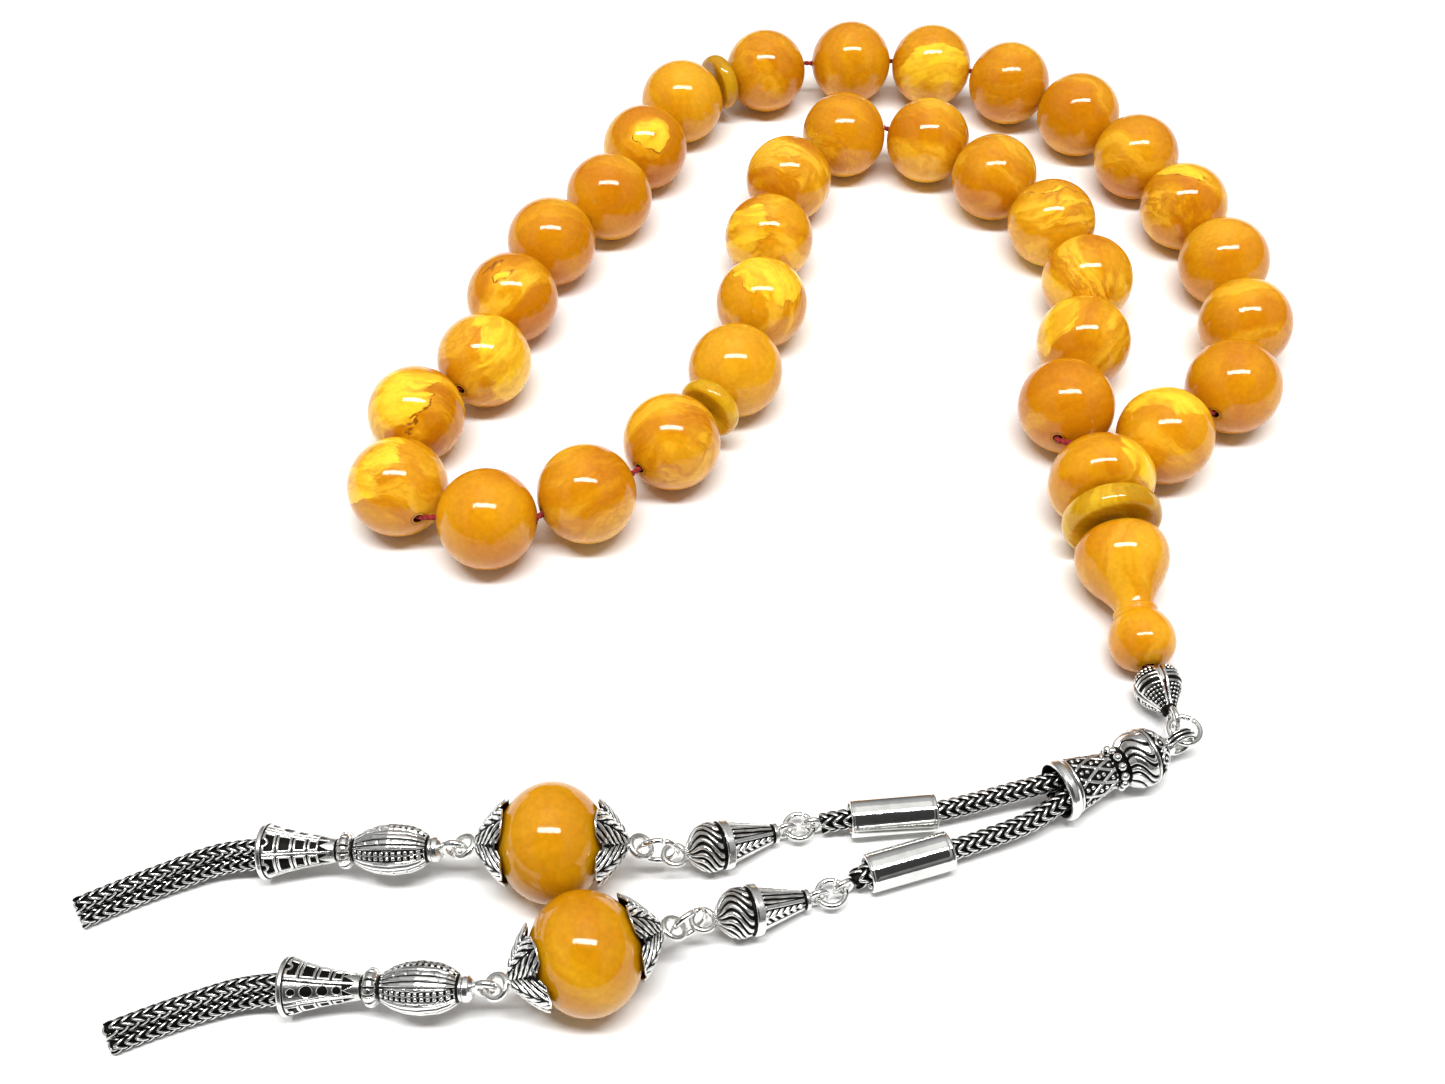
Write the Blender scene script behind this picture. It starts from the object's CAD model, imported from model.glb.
"""Misbaha prayer beads: the looks. Lengths in this script are millimetres until a piece is made."""
import math

import bmesh
import bpy
import numpy as np
from mathutils import Matrix, Vector


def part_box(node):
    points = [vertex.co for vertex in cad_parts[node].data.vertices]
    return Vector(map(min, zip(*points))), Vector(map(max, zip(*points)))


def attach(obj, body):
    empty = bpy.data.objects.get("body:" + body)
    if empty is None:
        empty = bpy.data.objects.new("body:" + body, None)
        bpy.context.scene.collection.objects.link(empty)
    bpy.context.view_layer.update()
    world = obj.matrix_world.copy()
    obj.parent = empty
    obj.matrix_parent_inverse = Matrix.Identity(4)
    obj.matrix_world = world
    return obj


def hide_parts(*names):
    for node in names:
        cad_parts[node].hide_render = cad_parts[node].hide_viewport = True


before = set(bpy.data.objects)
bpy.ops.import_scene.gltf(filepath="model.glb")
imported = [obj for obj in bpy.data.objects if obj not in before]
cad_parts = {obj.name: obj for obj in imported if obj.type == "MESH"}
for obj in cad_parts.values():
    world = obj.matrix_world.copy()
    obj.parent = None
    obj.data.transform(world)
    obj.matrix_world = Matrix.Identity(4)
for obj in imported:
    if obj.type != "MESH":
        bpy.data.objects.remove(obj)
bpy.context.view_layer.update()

MM = 0.001
TAU = 2 * math.pi


def centre(node):
    """The middle of a CAD node's box, in millimetres."""
    low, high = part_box(node)
    return (low + high) / 2 / MM


# The part is laid out in millimetres round a point of its own; the frame has it shifted by this much.
SHIFT = centre("upper_sleeve") - Vector((20.8, -45.7, 2.4))


def at(x, y, z=0.0):
    """A point of the layout, in the frame, in millimetres."""
    return Vector((x, y, z)) + SHIFT


def direction(heading, tilt=0.0):
    level = math.cos(math.radians(tilt))
    return Vector((
        level * math.cos(math.radians(heading)),
        level * math.sin(math.radians(heading)),
        math.sin(math.radians(tilt)),
    ))


# ---- Camera ----

CAMERA_AT = at(0, -155.6, 184.4)
CAMERA_AIM = at(0, 0, 0)
camera_data = bpy.data.cameras.new("camera")
camera_data.sensor_width = 36.0
camera_data.lens = 42.8
camera_data.clip_start = 0.01
camera = bpy.data.objects.new("camera", camera_data)
bpy.context.scene.collection.objects.link(camera)
camera.location = CAMERA_AT * MM
camera.rotation_euler = (CAMERA_AIM - CAMERA_AT).to_track_quat("-Z", "Y").to_euler()
bpy.context.scene.camera = camera

# ---- Node helpers ----


class Nodes:
    """A short way to write a material's nodes."""

    def __init__(self, tree):
        self.tree = tree
        tree.nodes.clear()

    def add(self, kind, inputs=(), **settings):
        node = self.tree.nodes.new(kind)
        for key, value in settings.items():
            setattr(node, key, value)
        for key, value in dict(inputs).items():
            self.set(node.inputs[key], value)
        return node

    def set(self, socket, value):
        if isinstance(value, bpy.types.NodeSocket):
            self.tree.links.new(value, socket)
        else:
            socket.default_value = value

    def math(self, operation, a, b=0.0, c=0.0):
        return self.add("ShaderNodeMath", {0: a, 1: b, 2: c}, operation=operation).outputs[0]

    def vector(self, operation, a, b=(0, 0, 0)):
        return self.add("ShaderNodeVectorMath", {0: a, 1: b}, operation=operation)

    def noise(self, vector, scale, detail=2.0, roughness=0.5, distortion=0.0):
        return self.add("ShaderNodeTexNoise", {
            "Vector": vector, "Scale": scale, "Detail": detail, "Roughness": roughness,
            "Distortion": distortion,
        })

    def between(self, value, low, high, to_low=0.0, to_high=1.0):
        return self.add("ShaderNodeMapRange", {
            "Value": value, "From Min": low, "From Max": high, "To Min": to_low, "To Max": to_high,
        }, interpolation_type="SMOOTHSTEP").outputs["Result"]

    def mix(self, factor, a, b, blend="MIX"):
        node = self.add("ShaderNodeMix", data_type="RGBA", blend_type=blend)
        self.set(node.inputs[0], factor)
        self.set(node.inputs[6], a)
        self.set(node.inputs[7], b)
        return node.outputs[2]

    def attribute(self, name, output="Fac"):
        return self.add("ShaderNodeAttribute", attribute_name=name).outputs[output]


def material(name):
    made = bpy.data.materials.new(name)
    made.use_nodes = True
    return made, Nodes(made.node_tree)


def finish_material(nodes, shader):
    out = nodes.add("ShaderNodeOutputMaterial")
    nodes.set(out.inputs["Surface"], shader.outputs[0])


# ---- Materials ----


def amber_material(name, body, deep, pale, bright, glow, cloud=1.0):
    """Polished amber: honey body, cloudy pale swirls, brown streaks and one bright inclusion.

    The mesh attributes seed, turn, plate and mix tell one bead from the next."""
    made, nodes = material(name)
    place = nodes.add("ShaderNodeTexCoord").outputs["Object"]
    turn = nodes.attribute("turn", "Vector")
    turned = nodes.add(
        "ShaderNodeVectorRotate", {"Vector": place, "Rotation": turn}, rotation_type="EULER_XYZ",
    ).outputs[0]
    placed = nodes.vector("ADD", turned, nodes.attribute("seed", "Vector")).outputs[0]
    curl = nodes.noise(placed, 95.0, 3.0)
    push = nodes.vector("SUBTRACT", curl.outputs["Color"], (0.5, 0.5, 0.5)).outputs[0]
    push = nodes.add("ShaderNodeVectorMath", {0: push, "Scale": 0.0085}, operation="SCALE").outputs[0]
    warped = nodes.vector("ADD", placed, push).outputs[0]
    along = nodes.vector("MULTIPLY", warped, (1.0, 4.2, 1.0)).outputs[0]
    amounts = nodes.add("ShaderNodeSeparateXYZ", {0: nodes.attribute("mix", "Vector")})
    streak_amount, pale_amount, plate_reach = amounts.outputs

    depth = nodes.noise(placed, 60.0, 2.0).outputs["Fac"]
    colour = nodes.mix(nodes.between(depth, 0.38, 0.62), body, deep)
    fine = nodes.noise(along, 150.0, 5.0, 0.6, 0.3).outputs["Fac"]
    cloudy = nodes.noise(along, 50.0, 3.0, 0.5, 0.3).outputs["Fac"]
    torn = nodes.math("MULTIPLY_ADD", nodes.math("SUBTRACT", fine, 0.5), 0.22, cloudy)
    marble = nodes.mix(nodes.between(torn, 0.40, 0.50), deep, body)
    marble = nodes.mix(nodes.between(torn, 0.52, 0.60), marble, pale)
    amount = nodes.math("MULTIPLY_ADD", pale_amount, 0.95 * cloud, 0.08)
    colour = nodes.mix(amount, colour, marble)
    ridge = nodes.math("ABSOLUTE", nodes.math("SUBTRACT", fine, 0.5))
    streaks = nodes.between(ridge, 0.075, 0.0)
    patches = nodes.between(nodes.noise(placed, 80.0, 1.0).outputs["Fac"], 0.42, 0.6)
    streaks = nodes.math("MULTIPLY", nodes.math("MULTIPLY", streaks, patches), streak_amount)
    colour = nodes.mix(nodes.math("MULTIPLY", streaks, 0.6), colour, (0.47, 0.135, 0.002, 1))

    towards = nodes.vector("DOT_PRODUCT", place, nodes.attribute("plate", "Vector")).outputs["Value"]
    ragged = nodes.math("MULTIPLY", nodes.math("SUBTRACT", cloudy, 0.5), 0.009)
    ragged = nodes.math("MULTIPLY_ADD", nodes.math("SUBTRACT", fine, 0.5), 0.004, ragged)
    inside = nodes.math("SUBTRACT", nodes.math("ADD", towards, ragged), plate_reach)
    plate_mask = nodes.between(inside, 0.0, 0.0006)
    veins = nodes.between(fine, 0.36, 0.62, 0.25, 0.9)
    colour = nodes.mix(nodes.math("MULTIPLY", plate_mask, veins), colour, bright)
    crack = nodes.math("ABSOLUTE", nodes.math("SUBTRACT", inside, 0.0001))
    cracked = nodes.math("MULTIPLY", nodes.between(streak_amount, 0.6, 1.0), nodes.between(fine, 0.45, 0.58))
    crack = nodes.math("MULTIPLY", nodes.between(crack, 0.00022, 0.00004), cracked)
    colour = nodes.mix(crack, colour, (0.3, 0.08, 0.004, 1))
    grain = nodes.between(nodes.noise(placed, 1500.0, 2.0).outputs["Fac"], 0.3, 0.7, 0.93, 1.05)
    colour = nodes.mix(1.0, colour, nodes.add("ShaderNodeCombineColor", {
        "Red": grain, "Green": grain, "Blue": grain}).outputs[0], "MULTIPLY")
    bore = nodes.attribute("bore")
    colour = nodes.mix(bore, colour, (0.045, 0.006, 0.003, 1))

    scratch = nodes.noise(nodes.vector("MULTIPLY", placed, (1.0, 9.0, 1.0)).outputs[0], 420.0, 3.0)
    gloss = nodes.between(scratch.outputs["Fac"], 0.4, 0.75, 0.05, 0.13)
    bump = nodes.add("ShaderNodeBump", {
        "Strength": 0.03, "Distance": 0.0002, "Height": scratch.outputs["Fac"]})
    shader = nodes.add("ShaderNodeBsdfPrincipled", {
        "Base Color": colour, "Roughness": gloss, "IOR": 1.54, "Subsurface Weight": glow,
        "Subsurface Radius": (1.0, 0.38, 0.07), "Subsurface Scale": 0.0035,
        "Specular IOR Level": 0.32, "Normal": bump.outputs[0],
    }, subsurface_method="RANDOM_WALK")
    finish_material(nodes, shader)
    return made


def silver_material(name, roughness, wear):
    """Silver whose recesses, marked by the attribute tarnish, have gone black."""
    made, nodes = material(name)
    place = nodes.add("ShaderNodeTexCoord").outputs["Object"]
    mottle = nodes.noise(place, 900.0, 4.0, 0.6).outputs["Fac"]
    broad = nodes.noise(place, 160.0, 3.0, 0.6).outputs["Fac"]
    dark = nodes.math("ADD", nodes.attribute("tarnish"), nodes.math(
        "MULTIPLY", nodes.math("SUBTRACT", mottle, 0.5), 0.5 * wear))
    dark = nodes.between(dark, 0.3, 0.62)
    clean = nodes.mix(nodes.between(broad, 0.35, 0.7), (0.90, 0.90, 0.88, 1), (0.62, 0.62, 0.60, 1))
    film = nodes.math("MULTIPLY", nodes.between(mottle, 0.56, 0.78), 0.55 * wear)
    clean = nodes.mix(film, clean, (0.2, 0.19, 0.17, 1))
    colour = nodes.mix(dark, clean, (0.012, 0.011, 0.01, 1))
    rough = nodes.math("ADD", nodes.math("MULTIPLY", dark, 0.4), nodes.between(
        broad, 0.3, 0.7, roughness * 0.75, roughness * 1.3))
    scratch = nodes.noise(nodes.vector("MULTIPLY", place, (1.0, 7.0, 1.0)).outputs[0], 1300.0, 3.0)
    bump = nodes.add("ShaderNodeBump", {
        "Strength": 0.12 * wear + 0.02, "Distance": 0.0001, "Height": scratch.outputs["Fac"]})
    shader = nodes.add("ShaderNodeBsdfPrincipled", {
        "Base Color": colour, "Metallic": 1.0, "Roughness": rough, "Normal": bump.outputs[0]})
    finish_material(nodes, shader)
    return made


def thread_material():
    made, nodes = material("fine_red_thread")
    place = nodes.add("ShaderNodeTexCoord").outputs["Object"]
    fibre = nodes.noise(nodes.vector("MULTIPLY", place, (1.0, 1.0, 4.0)).outputs[0], 2600.0, 3.0)
    colour = nodes.mix(
        nodes.between(fibre.outputs["Fac"], 0.3, 0.7), (0.07, 0.002, 0.002, 1), (0.42, 0.008, 0.007, 1))
    bump = nodes.add("ShaderNodeBump", {
        "Strength": 0.5, "Distance": 0.0001, "Height": fibre.outputs["Fac"]})
    shader = nodes.add("ShaderNodeBsdfPrincipled", {
        "Base Color": colour, "Roughness": 0.75, "Sheen Weight": 0.05, "Normal": bump.outputs[0]})
    finish_material(nodes, shader)
    return made


HONEY = amber_material(
    "fine_honey_amber", (0.69, 0.315, 0.005, 1), (0.56, 0.195, 0.002, 1), (0.90, 0.52, 0.030, 1),
    (0.98, 0.63, 0.030, 1), 0.45)
OLIVE = amber_material(
    "fine_olive_amber", (0.60, 0.34, 0.006, 1), (0.44, 0.22, 0.003, 1), (0.82, 0.52, 0.02, 1),
    (0.9, 0.6, 0.04, 1), 0.35)
BUTTER = amber_material(
    "fine_butter_amber", (0.60, 0.29, 0.004, 1), (0.52, 0.21, 0.002, 1), (0.68, 0.345, 0.009, 1),
    (0.9, 0.5, 0.03, 1), 0.5, 0.6)
SILVER = silver_material("fine_oxidised_silver", 0.2, 1.0)
POLISHED = silver_material("fine_polished_silver", 0.07, 0.25)
THREAD = thread_material()

# ---- Mesh helpers: a shape is (points, faces, attributes), the points in millimetres ----


def merged(*shapes):
    """Several shapes as one; an attribute that one of them lacks is 0 there."""
    names = {name for shape in shapes for name in shape[2]}
    points, faces, attributes, offset = [], [], {name: [] for name in names}, 0
    for co, quads, values in shapes:
        points.append(co)
        faces.extend([tuple(index + offset for index in face) for face in quads])
        for name in names:
            attributes[name].append(values.get(name, np.zeros(len(co))))
        offset += len(co)
    return np.concatenate(points), faces, {name: np.concatenate(v) for name, v in attributes.items()}


def moved(shape, matrix):
    m = np.array(matrix)
    return shape[0] @ m[:3, :3].T + m[:3, 3], shape[1], shape[2]


def laid(place, heading, tilt=0.0):
    """The matrix that sends +Y along the heading and tilt, and the origin to a place."""
    turn = Matrix.Rotation(math.radians(heading - 90), 4, "Z") @ Matrix.Rotation(math.radians(tilt), 4, "X")
    return Matrix.Translation(place) @ turn


def grid_faces(rows, columns, wrap_rows, wrap_columns=True):
    faces = []
    for i in range(rows if wrap_rows else rows - 1):
        for j in range(columns if wrap_columns else columns - 1):
            a, b = i * columns + j, i * columns + (j + 1) % columns
            c, d = (i + 1) % rows * columns + (j + 1) % columns, (i + 1) % rows * columns + j
            faces.append((a, b, c, d))
    return faces


def curve_through(points, step):
    """Points about a step apart on a smooth curve through the given ones."""
    points = [np.array(p, float) for p in points]
    padded = [2 * points[0] - points[1], *points, 2 * points[-1] - points[-2]]
    out = []
    for p0, p1, p2, p3 in zip(padded, padded[1:], padded[2:], padded[3:]):
        knots = [0.0]
        for a, b in ((p0, p1), (p1, p2), (p2, p3)):
            knots.append(knots[-1] + max(np.linalg.norm(b - a), 1e-6) ** 0.5)
        count = max(2, int(np.linalg.norm(p2 - p1) / step))
        for k in range(count):
            t = knots[1] + (knots[2] - knots[1]) * k / count
            line = [p0, p1, p2, p3]
            for span, first in ((1, 0), (2, 0), (1, 1)):
                line = [
                    a + (b - a) * (t - knots[i + first]) / (knots[i + first + span] - knots[i + first])
                    for i, (a, b) in enumerate(zip(line, line[1:]))
                ]
            out.append(line[0])
    out.append(points[-1])
    return np.array(out)


def travelled(path):
    """How far along the path each of its points is."""
    return np.concatenate([[0], np.cumsum(np.linalg.norm(np.diff(path, axis=0), axis=1))])


def evenly(points, step):
    """The same line in straight pieces of about a step, with its corners kept."""
    out = []
    for a, b in zip(points, points[1:]):
        a, b = np.array(a, float), np.array(b, float)
        count = max(1, int(round(np.linalg.norm(b - a) / step)))
        out.extend(a + (b - a) * k / count for k in range(count))
    out.append(np.array(points[-1], float))
    return np.array(out)


def revolve(outline, sides, closed=False, relief=None, depth=0.25):
    """Turns an outline of (along, radius) round the Y axis. relief(angle, along) is 1 where the metal
    stands proud and 0 where it is cut away; it works on the outside only, and the inside is tarnished."""
    outline = np.array(outline, float)
    rows = len(outline)
    if closed:
        tangent = np.roll(outline, -1, 0) - np.roll(outline, 1, 0)
    else:
        tangent = np.gradient(outline, axis=0)
    tangent /= np.linalg.norm(tangent, axis=1, keepdims=True) + 1e-12
    normal = np.stack([-tangent[:, 1], tangent[:, 0]], 1)
    angle = np.linspace(0, TAU, sides, endpoint=False)
    a, along = np.meshgrid(angle, outline[:, 0])
    radius = np.meshgrid(angle, outline[:, 1])[1]
    attributes = {}
    if relief is not None:
        raised = np.clip(relief(a, along), 0, 1)
        inside = (normal[:, 1] < -0.3)[:, None] & np.ones_like(raised, bool)
        raised = np.where(inside, 1.0, raised)
        along = along + normal[:, :1] * depth * (raised - 1)
        radius = radius + normal[:, 1:] * depth * (raised - 1)
        attributes["tarnish"] = np.where(inside, 1.0, 1 - raised).ravel()
    co = np.stack([radius * np.cos(a), along, radius * np.sin(a)], -1).reshape(-1, 3)
    faces = grid_faces(rows, sides, closed)
    if not closed:
        faces.append(tuple(range(sides)))
        faces.append(tuple(range((rows - 1) * sides, rows * sides))[::-1])
    return co, faces, attributes


def frames(path, closed=False):
    """Tangents and two steady normals along a path, the first of them as level as it can be."""
    path = np.array(path, float)
    if closed:
        tangent = np.roll(path, -1, 0) - np.roll(path, 1, 0)
    else:
        tangent = np.gradient(path, axis=0)
    tangent /= np.linalg.norm(tangent, axis=1, keepdims=True)
    up = np.array([0.0, 0.0, 1.0])
    if np.abs(tangent[:, 2]).max() > 0.9:
        up = np.linalg.svd(path - path.mean(0))[2][-1]
    side = np.cross(up, tangent)
    side /= np.linalg.norm(side, axis=1, keepdims=True)
    return tangent, side, np.cross(tangent, side)


def sweep(path, radius, sides=12, closed=False):
    """Round wire along a path. The radius is one number or one for each point."""
    path = np.array(path, float)
    _, side, up = frames(path, closed)
    a = np.linspace(0, TAU, sides, endpoint=False)
    size = np.broadcast_to(np.array(radius, float), (len(path),))[:, None, None]
    outward = side[:, None] * np.cos(a)[None, :, None] + up[:, None] * np.sin(a)[None, :, None]
    co = path[:, None] + size * outward
    faces = grid_faces(len(path), sides, closed)
    if not closed:
        faces.append(tuple(range(sides)))
        faces.append(tuple(range((len(path) - 1) * sides, len(path) * sides))[::-1])
    return co.reshape(-1, 3), faces, {}


def circle(radius, steps=56, opening=0.0, plane="XY", middle=(0, 0, 0), start=0.0):
    """Points round a circle, with an opening in degrees where the wire's ends meet."""
    span = TAU - math.radians(opening)
    a = np.linspace(0, span, steps, endpoint=opening > 0) + math.radians(start + opening / 2)
    zero = np.zeros_like(a)
    flat = {"XY": (np.cos(a), np.sin(a), zero), "YZ": (zero, np.cos(a), np.sin(a))}[plane]
    return np.stack(flat, -1) * radius + np.array(middle, float)


def ring(radius, wire, opening=0.0, **where):
    """A ring of round wire; with an opening, its two cut ends nearly meet."""
    return sweep(circle(radius, opening=opening, **where), wire, 12, closed=opening == 0)


def ball(place, radius, sides=12):
    """A small granule."""
    t = np.linspace(0.06, math.pi - 0.06, 9)
    shape = revolve(np.stack([-np.cos(t) * radius, np.sin(t) * radius], 1), sides)
    return shape[0] + np.array(place, float), shape[1], {}


def smoothed(value, width=0.12):
    """0 to 1 across a line, from a signed distance in millimetres."""
    t = np.clip(value / width + 0.5, 0, 1)
    return t * t * (3 - 2 * t)


def stripe(value, middle, half):
    """1 within half of the middle."""
    return smoothed(half - np.abs(value - middle))


def make(name, shape, body, paint, nodes=(), matrix=None):
    """Makes a piece of a shape, sets it in its place and lets it ride on its body. Its turn goes into the
    mesh, so that the object's own box is the true one."""
    place = Vector((0, 0, 0))
    if matrix is not None:
        place = matrix.translation
        shape = moved(shape, matrix.to_3x3().to_4x4())
    co, faces, attributes = shape
    mesh = bpy.data.meshes.new(name)
    mesh.from_pydata((co * MM).tolist(), [], faces)
    work = bmesh.new()
    work.from_mesh(mesh)
    bmesh.ops.recalc_face_normals(work, faces=work.faces)
    work.to_mesh(mesh)
    work.free()
    for key, values in attributes.items():
        values = np.array(values, np.float32)
        if values.ndim == 2:
            mesh.attributes.new(key, "FLOAT_VECTOR", "POINT").data.foreach_set("vector", values.ravel())
        else:
            mesh.attributes.new(key, "FLOAT", "POINT").data.foreach_set("value", values)
    mesh.polygons.foreach_set("use_smooth", [True] * len(mesh.polygons))
    mesh.materials.append(paint)
    piece = bpy.data.objects.new(name, mesh)
    bpy.context.scene.collection.objects.link(piece)
    piece.location = place * MM
    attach(piece, body)
    if nodes:
        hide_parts(*nodes)


def refine(node, shape, paint, matrix=None, body=None):
    """The fine piece of one CAD node, on the body of the same name unless another is given."""
    make(f"fine_{node}", shape, body or node, paint, [node], matrix)


def marked(shape, dice, streak, pale, plate=None, reach=9.0):
    """Adds the attributes that the amber material reads. plate is the world direction of the bright
    inclusion and reach how far from the middle it begins, in millimetres."""
    count = len(shape[0])
    towards = Vector(plate if plate is not None else (0, 0, 1)).normalized()
    constant = {
        "seed": dice.uniform(-1, 1, 3), "turn": dice.uniform(-1.2, 1.2, 3), "plate": list(towards),
        "mix": (streak, pale, (reach if plate is not None else 99.0) * MM),
    }
    attributes = dict(shape[2])
    for key, value in constant.items():
        attributes[key] = np.tile(np.array(value, float), (count, 1))
    if "bore" not in attributes:
        attributes["bore"] = np.zeros(count)
    return shape[0], shape[1], attributes


# ---- Strand ----

BEAD_RADIUS = 7.0
BEAD_HALF = 6.9
BORE = 0.62
DICE = np.random.default_rng(33)

# Streaks and pale clouds, bead by bead, and the direction and start in millimetres of a bright inclusion
PLAIN = (0.3, 0.15)
BEAD_LOOKS = {
    1: (0.4, 0.3), 2: (0.7, 0.7, (-0.8, 0.1, 0.5), 4.6), 3: (1.0, 0.85),
    4: (1.0, 0.85, (-0.1, 0.5, 0.8), 6.0), 5: (0.6, 0.45), 6: (0.8, 0.6), 7: (0.9, 0.35), 8: (1.0, 0.8),
    9: (0.8, 0.75, (-0.6, -0.4, 0.6), 5.6), 10: (0.8, 0.7, (0.3, 0.2, 0.93), 4.3), 11: PLAIN,
    12: (1.0, 0.5), 13: (0.7, 0.35), 14: (0.1, 0.1), 15: (0.7, 0.6, (-0.7, 0.2, 0.6), 3.6),
    16: (1.0, 0.9, (-0.7, 0.1, 0.7), 1.6), 17: (0.6, 0.5, (0.9, -0.1, 0.3), 2.6),
    18: (1.0, 0.85, (-0.3, 0.2, 0.9), 6.2), 19: (0.6, 0.4), 20: (0.3, 0.2),
    21: (1.0, 0.75, (0.4, -0.3, 0.8), 6.0), 22: PLAIN, 23: (0.6, 0.5), 24: (0.4, 0.3),
    25: (0.5, 0.4, (0.1, -0.86, 0.1), 3.4), 26: (0.5, 0.35), 27: (0.3, 0.3), 28: (0.6, 0.45),
    29: (1.0, 0.85, (-0.1, 0.4, 0.9), 5.6), 30: PLAIN, 31: (0.5, 0.5), 32: PLAIN,
    33: (0.5, 0.4, (0.0, 0.5, 0.86), 4.2),
}


def bead_shape(radius, half, bore, sides=72):
    """A polished ball, slightly shorter along its bore, with a small bevel round each hole."""
    last = math.acos((bore + 0.28) / radius)
    close = last - 0.16
    t = np.concatenate([
        np.linspace(-last, -close, 10, endpoint=False), np.linspace(-close, close, 42),
        np.linspace(close, last, 11)[1:]])
    outer = np.stack([np.sin(t) * half, np.cos(t) * radius], 1)
    end = outer[-1, 0]
    rim = [(end + 0.04, bore + 0.16), (end - 0.06, bore + 0.03), (end - 0.3, bore)]
    inner = [(y, bore) for y in np.linspace(end - 1.2, -end + 1.2, 6)]
    outline = [*outer, *rim, *inner, *[(-y, r) for y, r in reversed(rim)]]
    shape = revolve(outline, sides, closed=True)
    away = np.hypot(shape[0][:, 0], shape[0][:, 2])
    hole = np.clip((bore + 0.12 - away) / 0.1, 0, 1)
    mark = np.clip(1 - np.abs(away - bore - 0.42) / 0.12, 0, 1) * 0.8
    shape[2]["bore"] = np.maximum(hole, mark)
    return shape


BEADS = [f"bead_{number:02d}" for number in range(1, 34)]
place_of = {name: centre(name) for name in (*BEADS, "marker_disc_1", "marker_disc_2")}
heading_of = {}
for index, name in enumerate(BEADS):
    before = place_of[BEADS[max(index - 1, 0)]]
    after = place_of[BEADS[min(index + 1, 32)]]
    heading_of[name] = math.degrees(math.atan2(after.y - before.y, after.x - before.x))

for number, name in enumerate(BEADS, 1):
    matrix = laid(place_of[name], heading_of[name])
    shape = marked(bead_shape(BEAD_RADIUS, BEAD_HALF, BORE), DICE, *BEAD_LOOKS[number])
    refine(name, shape, HONEY, matrix)


def disc_shape(radius, half, bore, sides=96):
    """A turned disc: two nearly flat faces and a rounded edge."""
    edge = 0.62 * half
    t = np.linspace(-math.pi / 2, math.pi / 2, 22)
    rim = np.stack([np.sin(t) * half, radius - edge + np.cos(t) * edge], 1)
    faces_out = evenly([(half, radius - edge - 0.4), (half - 0.12, bore + 0.3), (half - 0.4, bore)], 0.6)
    back = [(-y, r) for y, r in faces_out[::-1]]
    return revolve([*back, *rim, *faces_out], sides, closed=True)


for index, (before, after) in enumerate((("bead_11", "bead_12"), ("bead_22", "bead_23")), 1):
    node = f"marker_disc_{index}"
    heading = sum(((heading_of[n] + 180) % 360 - 180) for n in (before, after)) / 2
    matrix = laid(place_of[node], heading)
    shape = marked(disc_shape(4.7, 1.3, 0.7), DICE, 0.5, 0.55)
    refine(node, shape, OLIVE, matrix)

# ---- Imame ----

IMAME_HEADING = -85
COLLECTOR = at(52.6, 4.8, 7.5)
imame_axis = direction(IMAME_HEADING)


def collector_shape():
    outline = curve_through([
        (-6.35, 0.05), (-6.2, 1.9), (-5.35, 4.0), (-3.9, 5.7), (-2.2, 6.85), (-0.2, 7.45), (1.2, 7.4),
        (2.8, 6.75), (3.9, 5.7), (4.35, 4.6), (4.4, 3.2),
    ], 0.22)
    return revolve([*outline, (4.4, 0.05)], 96)


def vase_shape():
    outline = curve_through([
        (0.02, 2.6), (0.05, 3.6), (0.7, 5.0), (2.1, 6.05), (3.9, 6.35), (5.8, 6.0), (7.7, 5.0), (9.4, 3.75),
        (10.9, 2.85), (12.0, 2.5),
    ], 0.2)
    finial = curve_through([
        (12.05, 2.72), (12.35, 2.95), (12.7, 2.78), (13.0, 2.85), (14.0, 3.65), (15.3, 4.2), (16.7, 4.38),
        (18.2, 4.1), (19.5, 3.2), (20.3, 1.9), (20.5, 1.0),
    ], 0.16)
    bore = [(20.3, 0.72), (19.4, 0.66), (10, 0.66), (1, 0.66), (0.0, 0.8)]
    shape = revolve([*outline, *finial, *bore], 96, closed=True)
    away = np.hypot(shape[0][:, 0], shape[0][:, 2])
    shape[2]["bore"] = np.clip((0.86 - away) / 0.1, 0, 1)
    return shape


collector = marked(collector_shape(), DICE, 0.7, 0.75, (0.8, 0.25, 0.55), 5.0)
make(
    "fine_collector_bead", collector, "imame", HONEY, ["imame_collector_bead"],
    laid(COLLECTOR, IMAME_HEADING),
)
disc_place = COLLECTOR + imame_axis * 6.7
disc_place.z = SHIFT.z + 6.95
disc = marked(disc_shape(6.85, 1.8, 1.0), DICE, 0.6, 0.5)
refine("imame_disc", disc, OLIVE, laid(disc_place, IMAME_HEADING, -4), "imame")
VASE_TILT = -8.5
vase_axis = direction(IMAME_HEADING, VASE_TILT)
vase_top = COLLECTOR + imame_axis * 9.2
vase_top.z = SHIFT.z + 6.35 - 3.8 * vase_axis.z + 0.05
vase = marked(vase_shape(), DICE, 0.15, 0.32)
refine("imame_vase", vase, HONEY, laid(vase_top, IMAME_HEADING, VASE_TILT), "imame")

# ---- Thread ----

CAP_HEADING, CAP_TILT = -79.5, 5
cap_mouth = at(55.6, -25.1, 3.3)
cap_axis = direction(CAP_HEADING, CAP_TILT)
knot = cap_mouth + cap_axis * 2.6
THREAD_RADIUS = 0.4


def twisted(path, radius):
    """Two plies of thread laid round each other."""
    path = np.array(path, float)
    length = travelled(path)
    _, side, up = frames(path)
    plies = []
    for phase in (0, math.pi):
        a = (length / 1.5 * TAU + phase)[:, None]
        plies.append(sweep(path + (side * np.cos(a) + up * np.sin(a)) * radius * 0.45, radius * 0.62, 8))
    return merged(*plies)


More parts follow.
